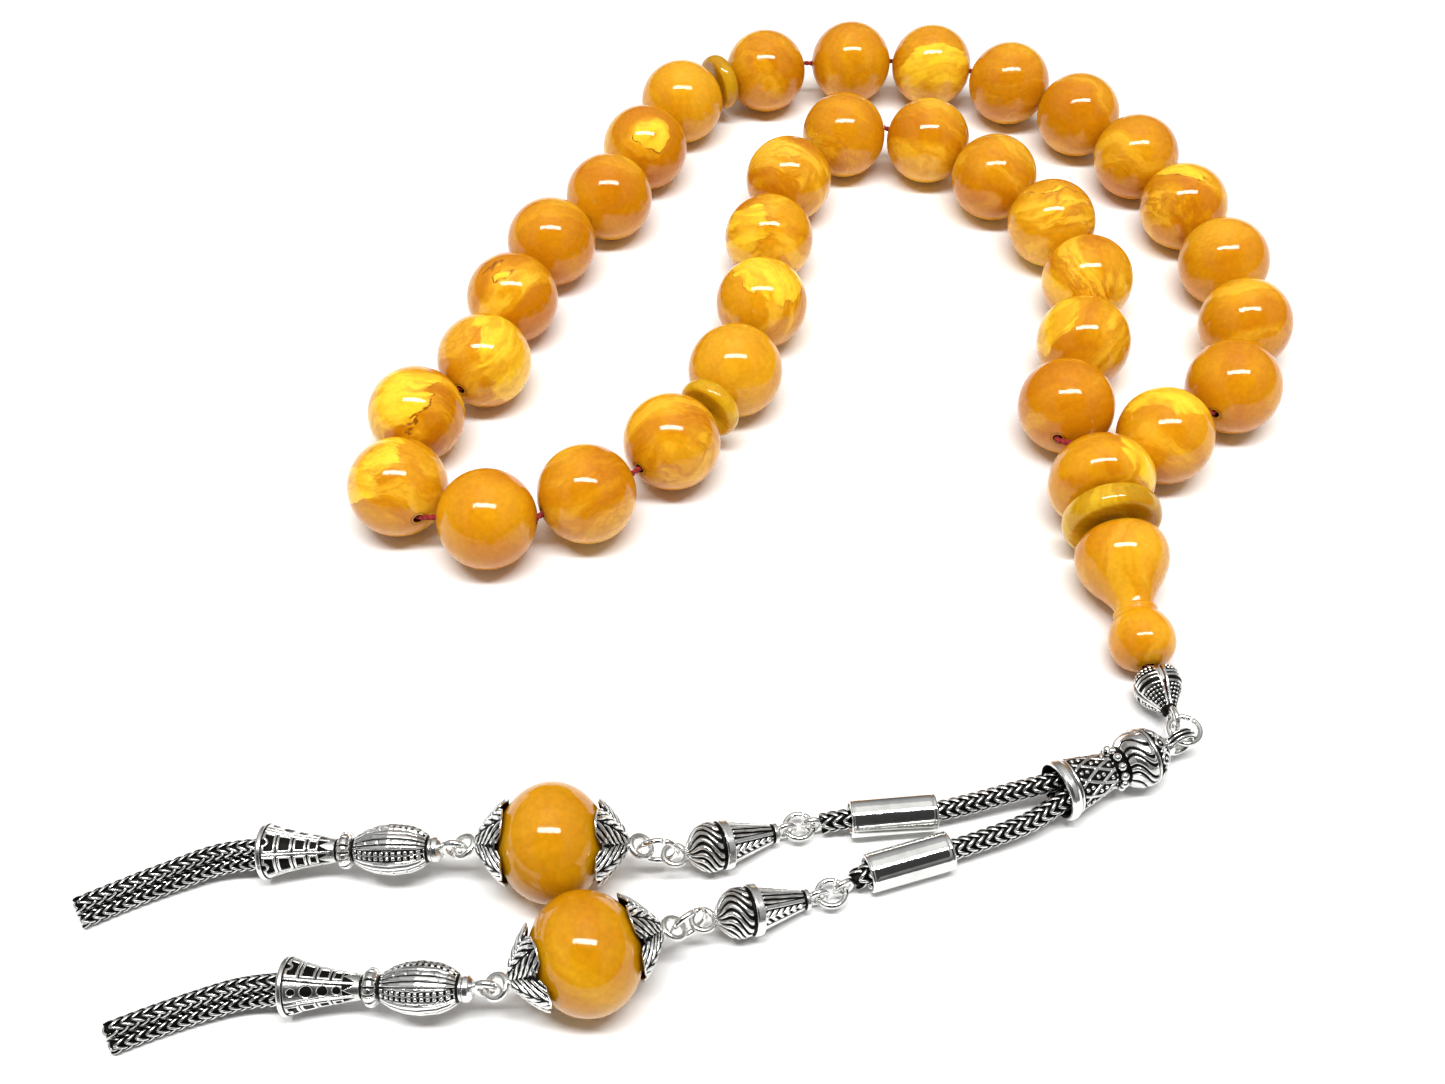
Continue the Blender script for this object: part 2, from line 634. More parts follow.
def link_thread(start, start_axis, end, end_axis, half_from, half_to):
    """The thread from inside one bore to inside the next."""
    leave, enter = start + start_axis * half_from, end - end_axis * half_to
    points = [leave - start_axis * 3, leave - start_axis * 0.6, enter + end_axis * 0.6, enter + end_axis * 3]
    return twisted(curve_through(points, 0.16), THREAD_RADIUS)


order = list(BEADS)
order.insert(11, "marker_disc_1")
order.insert(23, "marker_disc_2")
axis_of = {name: direction(heading_of[name]) for name in BEADS}
for index in (11, 23):
    axis_of[order[index]] = (axis_of[order[index - 1]] + axis_of[order[index + 1]]).normalized()
half_of = {name: 6.8 if name in BEADS else 1.25 for name in order}

stretches = [
    link_thread(place_of[name], axis_of[name], place_of[following], axis_of[following], half_of[name],
                half_of[following])
    for name, following in zip(order, order[1:])
]
for name in ("bead_01", "bead_33"):
    towards = (place_of[name] - COLLECTOR).normalized()
    bore = axis_of[name] if name == "bead_01" else -axis_of[name]
    start, end = COLLECTOR + towards * 5.5, place_of[name] - bore * 4.5
    points = [start, COLLECTOR + towards * 6.9, place_of[name] - bore * 7.0, end]
    stretches.append(twisted(curve_through(points, 0.16), THREAD_RADIUS))
make("thread_through_beads", merged(*stretches), "imame", THREAD, ["thread"])


def knot_shape():
    """The stem's last stretch and an overhand knot: a strand wound three times round itself."""
    out = vase_top + vase_axis * 19.6
    route = [out, vase_top + vase_axis * 20.6, cap_mouth + cap_axis * 0.6, knot]
    stem = twisted(curve_through(route, 0.16), 0.5)
    side = cap_axis.cross(Vector((0, 0, 1))).normalized()
    up = side.cross(cap_axis)
    t = np.linspace(0, 1, 70)
    turns = t * 3 * TAU
    wide = 0.62 + 0.25 * np.sin(t * math.pi)
    path = [
        knot + cap_axis * float(1.7 * k - 0.9) + side * float(w * math.cos(a)) + up * float(w * math.sin(a))
        for k, w, a in zip(t, wide, turns)
    ]
    return merged(stem, sweep(path, 0.42, 8), ball(knot, 0.75, 10))


make("thread_knot", knot_shape(), "imame", THREAD)

# ---- Silver: patterns of the relief ----


def cell(angle, count, phase=0.0):
    """Where an angle lies in its cell of a pattern repeated round the axis, from -0.5 to 0.5."""
    return (angle * count / TAU + phase) % 1.0 - 0.5


def head_relief(a, y):
    radius = np.interp(y, [-3, 0, 3, 4.3, 7, 10.5, 12], [2.2, 3.75, 2.2, 2.2, 2.85, 3.7, 3.9])
    raised = np.ones_like(a)
    # loop side of the ball: a band of ovals with a slot in each, and triangles between them
    u, v = cell(a, 9) * TAU * radius / 9, y + 2.15
    oval = np.hypot(u / 0.72, v / 0.78)
    band = smoothed(0.13 - np.abs((oval - 0.86) * 0.75)) + smoothed(0.2 - oval * 0.75)
    gap = (0.5 - np.abs(cell(a, 9))) * TAU * radius / 9
    band = np.maximum(band, smoothed(0.3 - gap - np.abs(v) * 0.42))
    raised = np.where((y > -3.15) & (y < -1.2), band, raised)
    raised = grooved(raised, y, (-1.12, 0.09), (-0.62, 0.08))
    # the other side: leaves that lean over, with a vein in each
    lean = a + 0.34 * np.sin((y - 1.0) * 1.3)
    u = cell(lean, 8) * TAU * radius / 8
    wide = TAU * radius / 16
    leaves = smoothed(np.cos(u / wide * math.pi * 2.5) * 0.2 + 0.04, 0.18)
    leaves = np.maximum(leaves, smoothed(np.abs(u) - wide + 0.2))
    plain = np.floor(lean * 8 / TAU + 0.5) % 4 == 1
    leaves = np.where(plain, 1 - stripe(np.abs(u), wide * 0.8, 0.07), leaves)
    raised = np.where((y > -0.45) & (y < 2.7), leaves, raised)
    # bell: a lattice of long diamonds with two dots in each
    n, length = 9, 4.1
    around = a * n / TAU
    d1, d2 = (around + (y - 4.7) / length) % 1 - 0.5, (around - (y - 4.7) / length) % 1 - 0.5
    wide = TAU * radius / n
    ribs, groove = (
        np.maximum(stripe(np.abs(d1) * wide, wide * 0.5, half), stripe(np.abs(d2) * wide, wide * 0.5, half))
        for half in (0.2, 0.04)
    )
    su, sv = (d1 + d2) * 0.5 * wide, (d1 - d2) * 0.5 * length
    near = (np.abs(d1) < 0.42) & (np.abs(d2) < 0.42)
    dots = np.maximum(
        smoothed(0.26 - np.hypot(su, sv - 0.42)), smoothed(0.26 - np.hypot(su, sv + 0.42)),
    ) * near
    lattice = np.maximum(ribs * (1 - 0.6 * groove), dots)
    raised = np.where((y > 4.35) & (y < 9.75), lattice, raised)
    raised = grooved(raised, y, (4.3, 0.1), (9.82, 0.1), (10.32, 0.09))
    return np.where((y > 2.65) & (y < 4.25), 0.0, raised)


def acorn_relief(a, y):
    bulb = ACORN_BULB
    radius = np.interp(y, [1, bulb - 2.4, bulb, bulb + 3], [1.2, 2.6, 3.05, 0.8])
    # bulb: ribs that run lengthwise in an S
    bend = 0.5 * np.sin((y - bulb - 0.6) * 1.15)
    onion = smoothed(np.cos((a + bend) * 15) * 0.2 * radius / 3 + 0.02, 0.2)
    raised = grooved(np.where(y > bulb - 0.92, onion, 1.0), y, (bulb - 0.95, 0.12), (bulb - 2.35, 0.12))
    # cone: long panels between raised bars, alternately leafy and striped
    panel = np.floor(a * 6 / TAU)
    u = cell(a, 6) * TAU * radius / 6
    half = TAU * radius / 12
    bars = smoothed(np.abs(u) - half + 0.26)
    leaf = smoothed(np.cos((y + np.abs(u) * 0.9) * TAU / 0.95) * 0.22 + 0.02, 0.2)
    leaf = np.maximum(leaf * smoothed(half - 0.42 - np.abs(u)), stripe(u, 0, 0.1))
    stripes = smoothed(np.cos(u * TAU / 0.62) * 0.2, 0.16) * smoothed(half - 0.38 - np.abs(u))
    cone = np.maximum(bars, np.where(panel % 2 == 0, leaf, stripes))
    return grooved(np.where((y > 1.95) & (y < bulb - 2.45), cone, raised), y, (1.9, 0.1))


def casting_relief(a, y):
    radius = np.interp(
        y, [2.7, 4.4, 7.4, 10.6, 12.3, 14, 18.5, 22.4], [1.3, 2.45, 3.05, 2.4, 1.5, 1.35, 2.1, 3.2])
    # barrel: smooth lengthwise ribs with fine cuts between and a few cross ticks; one column of squares
    count = 26
    u = cell(a, count) * TAU * radius / count
    line = 1 - smoothed(np.abs(u) - TAU * radius / count / 2 + 0.075, 0.08)
    tick = 1 - 0.7 * stripe(y % 1.55, 0.75, 0.05) * (np.floor(a * count / TAU) % 3 == 1)
    barrel = line * tick
    column = cell(a, 4, 0.42)
    across = np.abs(column) * TAU * radius / 4
    squares = stripe(across, 0.32, 0.2) * stripe((y + 0.2) % 0.72, 0.36, 0.22)
    barrel = np.where(across < 0.62, np.maximum(squares, stripe(across, 0, 0.05)), barrel)
    raised = grooved(np.where((y > 3.1) & (y < 11.9), barrel, 1.0), y, (3.0, 0.14), (12.05, 0.16))
    raised = np.where((y > 12.3) & (y < 13.9), 1 - 0.8 * stripe(a * 14 / TAU % 1, 0.5, 0.12), raised)
    raised = grooved(raised, y, (14.1, 0.16))
    # bell: six panels with thin raised edges; every third has round sinks, the others framed windows
    number = np.floor(a * 6 / TAU + 0.5) % 3
    u = cell(a, 6, 0.5) * TAU * radius / 6
    half = TAU * radius / 12
    edges = smoothed(np.abs(u) - half + 0.17)
    room = half - 0.3
    window = np.zeros_like(a)
    sinks = smoothed(room - 0.02 - np.abs(u))
    for middle, tall in ((16.7, 0.48), (18.25, 0.6), (20.0, 0.7)):
        box = np.maximum(np.abs(u) - room + 0.08, np.abs(y - middle) - tall)
        window = np.maximum(window, smoothed(0.14 - np.abs(box)))
        sinks *= 1 - smoothed(tall * 0.95 - np.hypot(u, y - middle))
    notch = np.maximum(np.abs(y - 21.72) - 0.6, np.abs(u) - room + 0.08)
    notch = np.maximum(notch, 0.5 - np.hypot(u, y - 22.4))
    window = np.maximum(window, smoothed(0.14 - np.abs(notch)))
    sinks *= 1 - smoothed(0.42 - np.hypot(u, y - 21.6))
    bell = np.maximum(edges, np.where(number == 0, sinks, window))
    spike = smoothed((16.1 - y) * 0.5 - np.abs(u))
    bell = np.where(y < 16.1, np.maximum(edges, spike), bell)
    return grooved(np.where((y > 14.3) & (y < 22.45), bell, raised), y, (22.5, 0.07))


def grooved(raised, y, *lines):
    """The same relief with grooves cut round it, each given by its middle and half width."""
    for middle, half in lines:
        raised = raised * (1 - stripe(y, middle, half))
    return raised


def petal_relief(u, v, half):
    """Tulip petal. u across and v down from the mouth, both in millimetres."""
    rim = smoothed(np.abs(u) - half + 0.3)
    raised = np.zeros_like(u)
    for row in (0.75, 1.3):
        dots = np.hypot((u + 0.27) % 0.54 - 0.27, v - row)
        raised = np.maximum(raised, smoothed(0.2 - dots))
    for bar in (1.95, 2.5, 3.35):
        raised = np.maximum(raised, stripe(v, bar, 0.16))
    dots = np.hypot((u + 0.25) % 0.5 - 0.25, (v - 4.1) % 0.52 - 0.26)
    raised = np.maximum(raised, smoothed(0.17 - dots) * (v > 3.7))
    return np.maximum(rim, raised)


def shell_patch(
        profile, half_angle, middle, rows, columns, thickness, relief, depth=0.2, puff=0.22, scallop=0.0):
    """A curved petal: profile is (along, radius) from tip to foot, half_angle its half width at even steps.
    It bulges by puff along its middle, and scallop is the share by which its edges wave."""
    profile = np.array(profile, float)
    y = np.linspace(0, 1, rows)
    keys = np.linspace(0, 1, len(profile))
    along, radius = np.interp(y, keys, profile[:, 0]), np.interp(y, keys, profile[:, 1])
    half = np.interp(y, np.linspace(0, 1, len(half_angle)), half_angle)
    length = np.concatenate([[0], np.cumsum(np.hypot(np.diff(along), np.diff(radius)))])
    half = half * (1 + scallop * np.cos(length * TAU / 0.8))
    s = np.linspace(-1, 1, columns)
    angle = middle + half[:, None] * s[None]
    r = np.repeat(radius[:, None], columns, 1)
    yy = np.repeat(along[:, None], columns, 1)
    u = (angle - middle) * r
    v = np.repeat(length[:, None], columns, 1)
    raised = np.clip(relief(u, v, (half * radius)[:, None]), 0, 1)
    bulge = puff * (1 - s[None] ** 2)
    out_r = r + bulge + depth * (raised - 1)
    in_r = r + bulge - thickness
    outer = np.stack([out_r * np.cos(angle), yy, out_r * np.sin(angle)], -1).reshape(-1, 3)
    inner = np.stack([in_r * np.cos(angle), yy, in_r * np.sin(angle)], -1).reshape(-1, 3)
    count = rows * columns
    faces = grid_faces(rows, columns, False, False)
    faces += [tuple(index + count for index in face[::-1]) for face in faces]
    edge = (
        list(range(columns)) + [i * columns + columns - 1 for i in range(1, rows)]
        + [(rows - 1) * columns + j for j in range(columns - 2, -1, -1)]
        + [i * columns for i in range(rows - 2, 0, -1)]
    )
    faces += [(a, b, b + count, a + count) for a, b in zip(edge, edge[1:] + edge[:1])]
    tarnish = np.concatenate([(1 - raised).ravel(), np.ones(count)])
    return np.concatenate([outer, inner]), faces, {"tarnish": tarnish}


def strap_loop(along, radius, width, thick, ridges=3):
    """A broad loop round X, at `along` on the Y axis, with lengthwise ridges on its outside."""
    a = np.linspace(0, TAU, 72, endpoint=False)
    t = np.linspace(0, TAU, 40, endpoint=False)
    across = np.cos(t) * width
    up = np.sin(t) * thick
    ridge = np.where(up > 0, 0.16 * np.cos(across / width * math.pi * (ridges - 0.2)) * np.sin(t), 0)
    rr = radius + up + ridge
    co = np.stack([
        np.repeat(across[None], 72, 0), along + rr[None] * np.cos(a)[:, None], rr[None] * np.sin(a)[:, None],
    ], -1).reshape(-1, 3)
    dark = np.clip(np.where(np.sin(t) > 0.2, 0.62 - ridge / 0.16 * 0.8, 0.35), 0, 1)
    return co, grid_faces(72, 40, True), {"tarnish": np.tile(dark, 72)}


# ---- Tulip cap, link and tassel head ----

WIRE = 0.38  # half the thickness of the rings' wire
OPENING = 7  # of a jump ring, in degrees
HEAD_LOOP = 5.9  # from the loop's middle to the ball's
HEAD_LENGTH = 11.9  # from the ball's middle to the bell's mouth


def tulip_shape():
    petals = [
        shell_patch(
            [(0.35, 2.35), (0.9, 2.8), (1.8, 3.05), (2.9, 2.95), (4.0, 2.4), (5.1, 1.6), (6.0, 1.0)],
            [0.42, 0.60, 0.66, 0.68, 0.70, 0.72, 0.74], math.radians(45 + 90 * k), 72, 44, 0.5, petal_relief)
        for k in range(4)
    ]
    outline = [(4.7, 0.1), (4.8, 1.3), (5.6, 1.25), (6.1, 1.0), (6.6, 0.95), (6.7, 0.1)]
    foot = revolve(evenly(outline, 0.15), 40)
    foot[2]["tarnish"] = np.full(len(foot[0]), 0.75)
    return merged(*petals, foot, ring(1.35, WIRE, plane="YZ", middle=(0, 7.7, 0)))


def head_shape():
    outline = evenly([
        (-4.7, 0.1), (-4.65, 1.0), (-3.6, 1.35), (-3.2, 2.05), (-2.6, 2.75), (-1.9, 3.25), (-1.0, 3.62),
        (0, 3.75), (1.0, 3.62), (1.9, 3.2), (2.5, 2.7), (2.9, 2.1), (3.2, 1.9), (4.2, 1.95), (4.35, 2.25),
        (7, 2.85),
        (9.8, 3.42), (10.5, 3.7), (10.9, 3.93), (11.5, 3.95), (11.85, 3.75), (HEAD_LENGTH, 3.4), (11.6, 3.22),
        (7.4, 2.6), (7.4, 0.1),
    ], 0.085)
    body = revolve(outline, 220, relief=head_relief, depth=0.24)
    granules = [
        ball((2.42 * math.cos(a), 3.65, 2.42 * math.sin(a)), 0.56)
        for a in np.linspace(0, TAU, 12, endpoint=False)
    ]
    return merged(body, *granules, strap_loop(-HEAD_LOOP, 1.72, 0.72, 0.36))


LINK_HEADING = -57
LINK_RADIUS = 2.0
HEAD_HEADING = 204
link_place = centre("head_link")
head_axis = direction(HEAD_HEADING)
head_place = link_place + direction(242) * LINK_RADIUS + head_axis * HEAD_LOOP
head_place.z = SHIFT.z + 3.98
refine("tulip_cap", tulip_shape(), SILVER, laid(cap_mouth, CAP_HEADING, CAP_TILT))
refine("head_link", ring(LINK_RADIUS, WIRE, OPENING, start=200), POLISHED, laid(link_place, LINK_HEADING))
refine("tassel_head", head_shape(), SILVER, laid(head_place, HEAD_HEADING))
head_mouth = head_place + head_axis * HEAD_LENGTH

# ---- Foxtail chain ----


def foxtail(path, radius, pitch, wire, turn=0.0, sides=4):
    """Woven loop-in-loop chain: rows of V-shaped links on each side, over a dark core. Each link is two bent
    wires of six rings of six points."""
    path = np.array(path, float)
    length = travelled(path)
    _, side, up = frames(path)
    total = length[-1]
    half = math.pi / sides
    k = np.linspace(0, 1, 6)
    points, faces, tarnish = [], [], []
    ring_angle = np.linspace(0, TAU, 6, endpoint=False)
    facing = np.cos(ring_angle)
    dark = np.tile(np.where(facing > 0.75, 0.0, np.where(facing > 0, 0.68, 1.0)), 6)
    rows = int(total / pitch - 0.4)
    offset = 0
    for row in range(rows):
        for face in range(sides):
            for hand in (-1, 1):
                s = pitch * (row + 0.35 + (0.5 if face % 2 else 0.0)) + pitch * 1.25 * k
                angle = turn + face * 2 * half + hand * half * (0.06 + 1.02 * (1 - k) ** 1.1)
                lift = radius - wire * (0.75 + 0.9 * (1 - np.sin(k * math.pi)) * 0.55)
                s = np.clip(s, 0, total)
                c = np.stack([np.interp(s, length, path[:, i]) for i in range(3)], 1)
                n1 = np.stack([np.interp(s, length, side[:, i]) for i in range(3)], 1)
                n2 = np.stack([np.interp(s, length, up[:, i]) for i in range(3)], 1)
                out = n1 * np.cos(angle)[:, None] + n2 * np.sin(angle)[:, None]
                line = c + out * lift[:, None]
                along = np.gradient(line, axis=0)
                along /= np.linalg.norm(along, axis=1, keepdims=True)
                across = np.cross(out, along)
                size = wire * np.array([0.62, 0.95, 1.0, 1.0, 0.95, 0.62])[:, None, None]
                loop = line[:, None] + size * (
                    out[:, None] * facing[None, :, None] * 0.95
                    + across[:, None] * np.sin(ring_angle)[None, :, None])
                points.append(loop.reshape(-1, 3))
                faces += [tuple(i + offset for i in f) for f in grid_faces(6, 6, False)]
                faces += [tuple(range(offset, offset + 6)), tuple(range(offset + 30, offset + 36))[::-1]]
                tarnish.append(dark)
                offset += 36
    core = sweep(path[length < total - 0.15], radius - wire * 1.5, 10)
    core[2]["tarnish"] = np.ones(len(core[0]))
    return merged((np.concatenate(points), faces, {"tarnish": np.concatenate(tarnish)}), core)


# ---- Strands of the tassel ----

STRANDS = (
    dict(name="upper", side=-1, chain=((36, -42.8, 3.2), (29.5, -44.4, 2.55)), sleeve_heading=185.5,
         acorn_heading=199.5, jump_heading=182, amber_heading=180, casting_heading=177.5,
         tail=((-5.5, -0.4), (-11, -2.2), (-16.5, -4.6), (-21.2, -7.0))),
    dict(name="lower", side=1, chain=((37.5, -47.0, 3.2), (31, -49.4, 2.55)), sleeve_heading=197.5,
         acorn_heading=197.5, jump_heading=214, amber_heading=200, casting_heading=176.5,
         tail=((-5, -0.2), (-10, -1.4), (-15, -3.2), (-19.6, -5.2))),
)
END_RING = 1.7  # radius of the end links
PIN_DROOP = 30  # degrees by which the pin's eyes hang
PIN_EYE = 1.35  # radius of the pin's eyes
PIN_EYE_AT = 1.65  # from the leaf cap's end to the eye's middle
LEAF_END = 9.05  # from the amber bead's middle to the leaf cap's end
AMBER_RADIUS = 7.2
ACORN_BULB = 9.8  # from the acorn's eye to its bulb's middle
CASTING_MOUTH = 23.2  # from the casting's eye to its mouth
TAIL_RADIUS = 0.95  # room that one tail chain takes


def sleeve_shape():
    half = 5.3
    return revolve([
        (-half + 0.5, 1.95), (-half + 0.06, 1.97), (-half, 2.08), (-half, 2.26), (-half + 0.1, 2.37),
        *evenly([(-half + 0.28, 2.4), (-half + 0.42, 2.36), (-half + 0.56, 2.4)], 0.07),
        *evenly([(-half + 0.56, 2.4), (half - 0.56, 2.4)], 0.35)[1:-1],
        *evenly([(half - 0.56, 2.4), (half - 0.42, 2.36), (half - 0.28, 2.4)], 0.07),
        (half - 0.1, 2.37), (half, 2.26), (half, 2.08), (half - 0.06, 1.97), (half - 0.5, 1.95),
    ], 96, closed=True)


def acorn_shape():
    bulb = ACORN_BULB
    outline = evenly([
        (1.05, 0.1), (1.1, 1.0), (1.3, 1.3), (1.75, 1.3), (1.9, 1.15), (bulb - 2.4, 2.55), (bulb - 2.3, 2.9),
        (bulb - 2.1, 3.08), (bulb - 1.3, 3.1), (bulb - 1.05, 2.95), (bulb - 0.95, 2.75), (bulb - 0.6, 2.95),
        (bulb, 3.05), (bulb + 0.8, 2.95), (bulb + 1.6, 2.55), (bulb + 2.3, 1.9), (bulb + 2.8, 1.15),
        (bulb + 3.0, 0.75), (bulb + 3.4, 0.62), (bulb + 3.45, 0.1),
    ], 0.075)
    body = revolve(outline, 180, relief=acorn_relief, depth=0.22)
    return merged(body, ring(1.15, WIRE, plane="YZ"), ring(1.35, WIRE, middle=(0, bulb + 4.6, 0)))


def leaf_relief(u, v, half):
    """Fern leaf: ribs that lean out from the middle, and black gaps between them."""
    ribs = np.cos((v * 0.55 - np.abs(u) * 0.9) * TAU / 0.82) * 0.2
    lace = np.cos((v * 0.9 + np.abs(u) * 0.5) * TAU / 1.25)
    ribs = smoothed(ribs + 0.05 + 0.05 * lace, 0.16)
    gutter = smoothed(np.abs(u) - 0.13)
    return np.maximum(ribs * gutter, smoothed(0.26 - v))


def leaf_cap():
    """Five leaves round the amber bead's end, five shorter dark ones in their gaps, a button and an eye."""
    leaves = []
    for k in range(5):
        leaves.append(shell_patch(
            [(5.35, 5.0), (5.5, 4.93), (5.75, 4.72), (6.15, 4.4), (6.7, 3.9), (7.3, 3.2), (8.0, 2.25),
             (8.5, 1.5), (9.0, 0.75)],
            [0.16, 0.36, 0.47, 0.53, 0.57, 0.59, 0.60, 0.64, 0.72], TAU * (k + 0.25) / 5, 72, 48, 0.4,
            leaf_relief, 0.3, 0.42, 0.06))
        under = shell_patch(
            [(6.2, 4.1), (6.7, 3.6), (7.3, 2.9), (8.0, 2.0), (8.5, 1.3)], [0.3, 0.5, 0.6, 0.66, 0.7],
            TAU * (k + 0.75) / 5, 40, 32, 0.35, leaf_relief, 0.2, 0.2)
        under[2]["tarnish"] = np.maximum(under[2]["tarnish"], 0.55)
        leaves.append(under)
    outline = [(8.3, 0.1), (8.5, 1.15), (9.0, 0.95), (LEAF_END + 0.1, 0.5), (9.2, 0.1)]
    button = revolve(evenly(outline, 0.12), 28)
    button[2]["tarnish"] = np.full(len(button[0]), 0.3)
    eye = ring(PIN_EYE, WIRE, middle=(0, PIN_EYE_AT, 0))
    droop = Matrix.Translation((0, LEAF_END, 0)) @ Matrix.Rotation(math.radians(-PIN_DROOP), 4, "X")
    return merged(*leaves, button, moved(eye, droop))


def casting_shape(turn):
    """turn is the angle in degrees that faces the row of round sinks towards the local X axis."""
    outline = evenly([
        (1.4, 0.1), (1.45, 1.0), (1.9, 1.5), (2.45, 1.55), (2.7, 1.35), (3.2, 1.75), (4.0, 2.3), (5.2, 2.8),
        (7.4, 3.05), (9.2, 2.85), (10.6, 2.4), (11.6, 1.85), (12.2, 1.5), (12.45, 1.9), (12.7, 2.15),
        (13.1, 2.25), (13.5, 2.15), (13.8, 1.85), (14.05, 1.4), (16, 1.7), (18.5, 2.15), (20.6, 2.65),
        (22.4, 3.2), (22.6, 3.36), (23.0, 3.4), (CASTING_MOUTH, 3.3), (CASTING_MOUTH, 2.95), (22.8, 2.8),
        (18.6, 1.6), (18.6, 0.1),
    ], 0.085)
    body = revolve(outline, 220, relief=casting_relief, depth=0.24)
    body = moved(body, Matrix.Rotation(math.radians(-turn), 4, "Y"))
    return merged(body, ring(1.3, 0.45, plane="YZ"))


SINKS_FACE = {"upper": 40, "lower": 130}
for plan in STRANDS:
    name, side = plan["name"], plan["side"]
    ring_place = centre(f"{name}_end_ring")
    sleeve_place = centre(f"{name}_sleeve")
    sleeve_axis = direction(plan["sleeve_heading"])
    across = Vector((-head_axis.y, head_axis.x, 0)) * side
    inner = head_mouth - head_axis * 3.3 + across * 1.35
    last = sleeve_place + sleeve_axis * 5.7
    away = last - ring_place
    away.z = 0
    away.normalize()
    eye = ring_place + away * END_RING
    out = (last - eye).normalized()
    route = curve_through([
        inner, head_mouth + across * 1.45, *[at(*p) for p in plan["chain"]],
        sleeve_place - sleeve_axis * 4.8, last, eye + out * 1.15,
    ], 0.25)
    end_eye = ring(1.15, WIRE, plane="YZ")
    end_eye = moved(end_eye, laid(eye, math.degrees(math.atan2(out.y, out.x))))
    chain = merged(foxtail(route, 1.26, 1.25, 0.26, math.pi / 4), end_eye)
    refine(f"{name}_foxtail_chain", chain, SILVER)
    refine(f"{name}_sleeve", sleeve_shape(), POLISHED, laid(sleeve_place, plan["sleeve_heading"]))
    refine(f"{name}_end_ring", ring(END_RING, WIRE, OPENING, start=70), POLISHED, laid(ring_place, 90))

    tip = ring_place + direction(plan["acorn_heading"]) * END_RING
    acorn_tilt = math.degrees(math.asin((SHIFT.z + 3.37 - tip.z) / ACORN_BULB))
    refine(f"{name}_acorn", acorn_shape(), SILVER, laid(tip, plan["acorn_heading"], acorn_tilt))
    jump = f"{name}_jump_ring"
    jump_shape = ring(2.25, WIRE, OPENING, plane="YZ", start=110)
    refine(jump, jump_shape, POLISHED, laid(centre(jump), plan["jump_heading"]))

    amber = f"{name}_amber_bead"
    amber_place = centre(amber)
    matrix = laid(amber_place, plan["amber_heading"])
    shape = marked(bead_shape(AMBER_RADIUS, 6.45, 0.7), DICE, 0.1, 0.5 if side < 0 else 0.7)
    refine(amber, shape, BUTTER, matrix)
    half = leaf_cap()
    other = (half[0] * np.array([-1, -1, 1.0]), half[1], half[2])
    shank = sweep([(0, y, 0) for y in np.linspace(-8.9, 8.9, 12)], 0.5, 12)
    refine(f"{name}_caps_and_pin", merged(half, other, shank), SILVER, matrix)

    level, drop = math.cos(math.radians(PIN_DROOP)), math.sin(math.radians(PIN_DROOP))
    far = amber_place + direction(plan["amber_heading"]) * (LEAF_END + PIN_EYE_AT * level)
    eye_z = AMBER_RADIUS - PIN_EYE_AT * drop - PIN_EYE * drop
    casting_eye = far + direction(plan["casting_heading"]) * PIN_EYE * level
    casting_eye.z = SHIFT.z + eye_z
    casting_tilt = -math.degrees(math.asin((eye_z - 3.42) / CASTING_MOUTH))
    casting_axis = direction(plan["casting_heading"], casting_tilt)
    casting_matrix = laid(casting_eye, plan["casting_heading"], casting_tilt)
    refine(f"{name}_casting", casting_shape(SINKS_FACE[name]), SILVER, casting_matrix)

    mouth = casting_eye + casting_axis * CASTING_MOUTH
    ground = SHIFT.z + TAIL_RADIUS * 1.63 + 0.08
    tail_route = curve_through([
        mouth - casting_axis * 2.6, mouth,
        *[Vector((mouth.x + x, mouth.y + y, max(ground, mouth.z - 0.75 * (k + 1))))
          for k, (x, y) in enumerate(plan["tail"])],
    ], 0.25)
    _, sideways, up = frames(tail_route)
    apart = TAIL_RADIUS * 1.08
    strands = []
    for index, (aside, above) in enumerate(((-1, -0.58), (1, -0.58), (0, 1.16))):
        line = tail_route - sideways * aside * apart + up * above * apart
        strands.append(foxtail(line, 0.98, 1.2, 0.205, math.pi / 4 + 0.3 * index))
        end_turn = math.atan2(*(line[-1] - line[-2])[1::-1])
        loop = ring(0.55, 0.2, plane=("XY", "YZ")[index % 2])
        strands.append(moved(loop, laid(line[-1] - (line[-1] - line[-2]) * 2.2, math.degrees(end_turn))))
    refine(f"{name}_tail_chains", merged(*strands), SILVER)

# ---- Floor and light ----

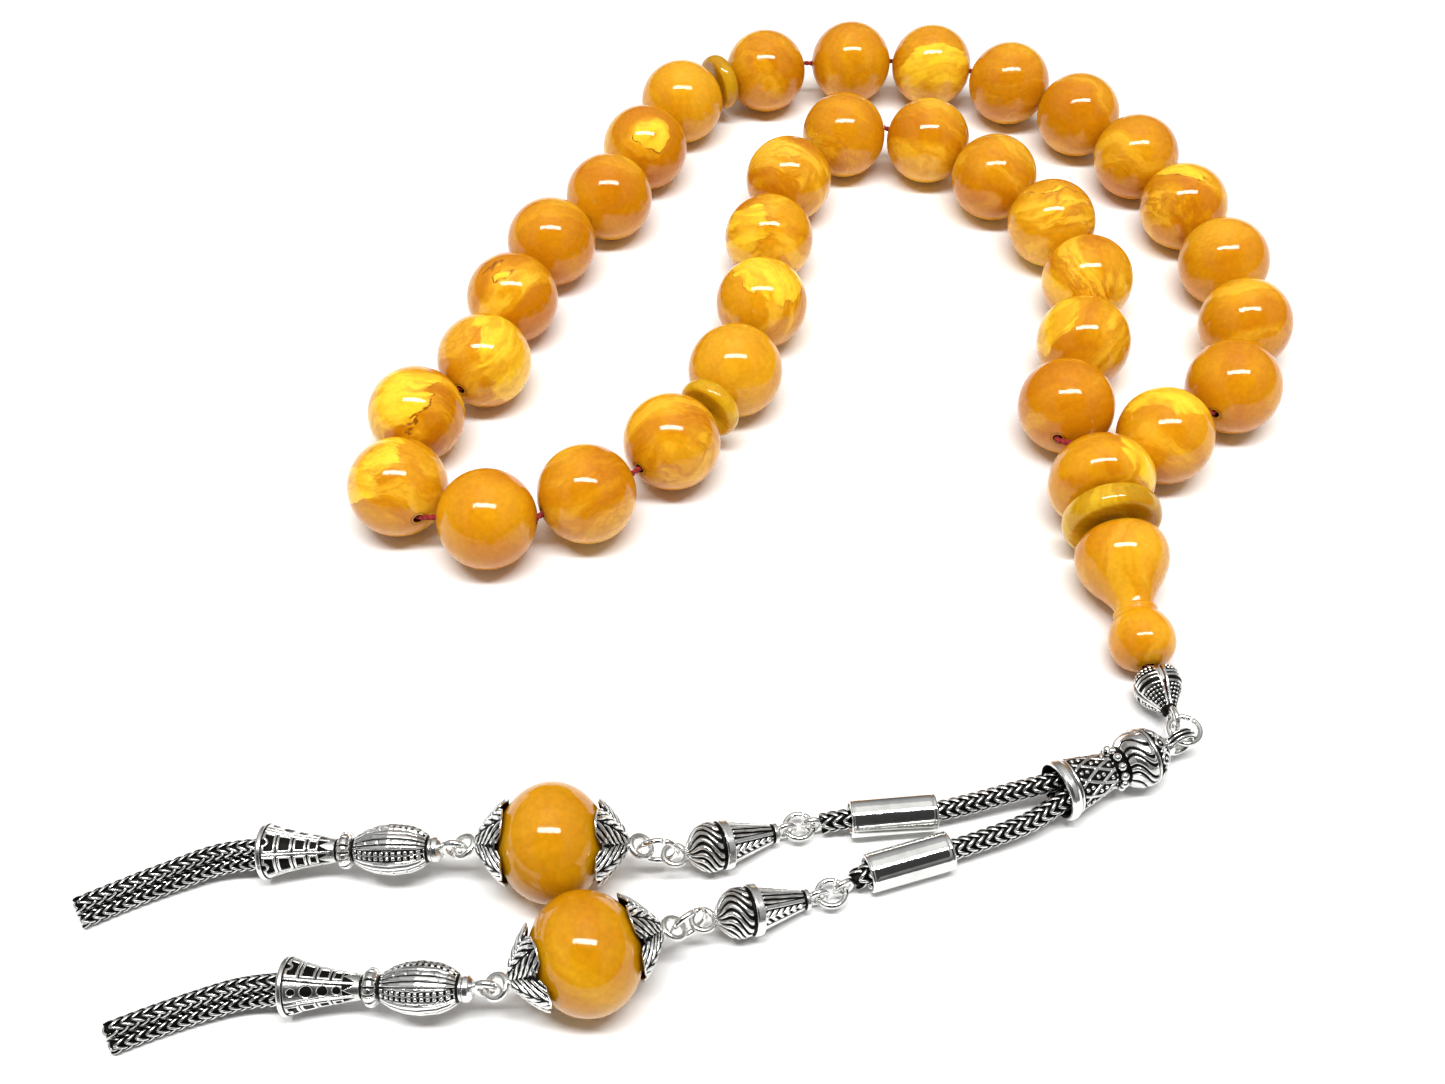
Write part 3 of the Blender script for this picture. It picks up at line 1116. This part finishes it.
floor_material, floor_nodes = material("pale_floor")
floor_place = floor_nodes.add("ShaderNodeTexCoord").outputs["Object"]
paper = floor_nodes.noise(floor_place, 300.0, 3.0).outputs["Fac"]
floor_colour = floor_nodes.mix(
    floor_nodes.between(paper, 0.3, 0.7), (0.93, 0.93, 0.925, 1), (0.95, 0.95, 0.945, 1))
finish_material(floor_nodes, floor_nodes.add("ShaderNodeBsdfPrincipled", {
    "Base Color": floor_colour, "Roughness": 0.9, "Specular IOR Level": 0.1}))
FLOOR_HALF = 2.5  # metres
FLOOR_HEIGHT = -0.00005
corners = [(x * FLOOR_HALF, y * FLOOR_HALF, FLOOR_HEIGHT) for x, y in ((-1, -1), (1, -1), (1, 1), (-1, 1))]
floor_mesh = bpy.data.meshes.new("floor")
floor_mesh.from_pydata(corners, [], [(0, 1, 2, 3)])
floor_mesh.materials.append(floor_material)
floor = bpy.data.objects.new("floor", floor_mesh)
bpy.context.scene.collection.objects.link(floor)


def area_light(name, place, aim, wide, tall, power):
    data = bpy.data.lights.new(name, "AREA")
    data.shape, data.size, data.size_y, data.energy = "RECTANGLE", wide, tall, power
    light = bpy.data.objects.new(name, data)
    bpy.context.scene.collection.objects.link(light)
    light.location = place
    light.rotation_euler = (Vector(aim) - Vector(place)).to_track_quat("-Z", "Y").to_euler()


area_light("strip_light", (0.0, -0.175, 0.9), (0, 0, 0), 0.85, 0.14, 11.5)

world = bpy.data.worlds.new("studio")
bpy.context.scene.world = world
world.use_nodes = True
sky = Nodes(world.node_tree)
sky_direction = sky.add("ShaderNodeTexCoord").outputs["Generated"]
height = sky.add("ShaderNodeSeparateXYZ", {0: sky_direction}).outputs["Z"]
sky_colour = sky.mix(sky.between(height, 0.05, 0.75), (0.12, 0.12, 0.12, 1), (0.5, 0.5, 0.5, 1))
# A dark screen at the front, for the black lines in the polished silver, and a white card overhead
shade_axis = (CAMERA_AT - CAMERA_AIM).normalized()
facing = sky.vector("DOT_PRODUCT", sky_direction, tuple(shade_axis)).outputs["Value"]
shade = sky.between(facing, 0.78, 0.84)
sky_colour = sky.mix(shade, sky_colour, (0.05, 0.05, 0.05, 1))
card_axis = Vector((0, 0.3, 0.954)).normalized()
overhead = sky.vector("DOT_PRODUCT", sky_direction, tuple(card_axis)).outputs["Value"]
sky_colour = sky.mix(sky.between(overhead, 0.925, 0.95), sky_colour, (0.95, 0.95, 0.93, 1))
background = sky.add("ShaderNodeBackground", {"Color": sky_colour, "Strength": 1.0})
sky.set(sky.add("ShaderNodeOutputWorld").inputs["Surface"], background.outputs[0])
bpy.context.scene.view_settings.view_transform = "Standard"
bpy.context.scene.view_settings.look = "None"
